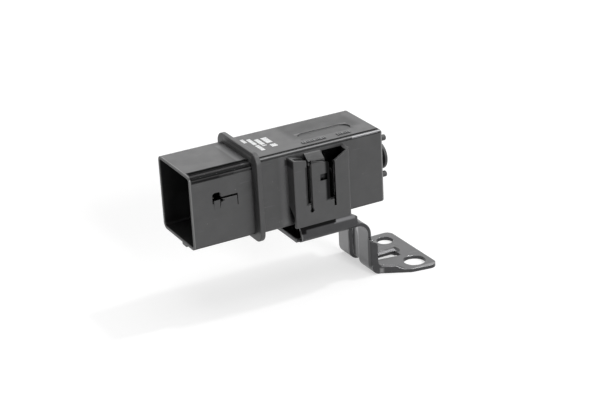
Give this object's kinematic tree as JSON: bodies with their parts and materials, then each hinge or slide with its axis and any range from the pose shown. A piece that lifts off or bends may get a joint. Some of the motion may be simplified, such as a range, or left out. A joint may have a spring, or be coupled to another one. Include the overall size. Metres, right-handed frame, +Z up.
{
  "type": "glow plug control unit",
  "caption": "Square black moulded housing with a connector shroud and collar, latched on a folded steel bracket whose foot has round mounting holes.",
  "frame": {"origin": "on the underside of the bracket's foot, midway between its two mounting holes", "axes": "+X from the connector mouth towards the rear, +Y from the side with the latch to the far side, +Z up from the mounting surface"},
  "size_m": [0.0994, 0.0401, 0.0624],
  "materials": {
    "black_plastic": "fine grained, glass filled, satin black",
    "carrier_plastic": "plain moulded black",
    "seal_rubber": "soft matt",
    "membrane": "porous film",
    "tinned_copper": "bright tin plate",
    "board": "solder resist",
    "aluminium": "extruded",
    "chip": "moulded",
    "can": "drawn can",
    "coated_steel": "thin black electrocoat over pressed steel, brighter on the sheared edges"
  },
  "bodies": {
    "root": {"housing": "black_plastic", "rear_cover": "black_plastic", "rear_seal": "seal_rubber", "vent_membrane": "membrane", "terminal_carrier": "carrier_plastic", "power_blade": "tinned_copper", "circuit_board": "board", "heat_spreader": "aluminium", "busbar": "tinned_copper", "microcontroller": "chip", "voltage_regulator": "chip", "capacitor": "can", "surge_diode": "chip", "bracket": "coated_steel", "output_blade_1": "tinned_copper", "current_shunt_1": "chip", "power_switch_1": "chip", "output_blade_2": "tinned_copper", "current_shunt_2": "chip", "power_switch_2": "chip", "output_blade_3": "tinned_copper", "current_shunt_3": "chip", "power_switch_3": "chip", "output_blade_4": "tinned_copper", "current_shunt_4": "chip", "power_switch_4": "chip", "signal_pin_1": "tinned_copper", "signal_pin_2": "tinned_copper", "signal_pin_3": "tinned_copper"}
  },
  "joints": []
}
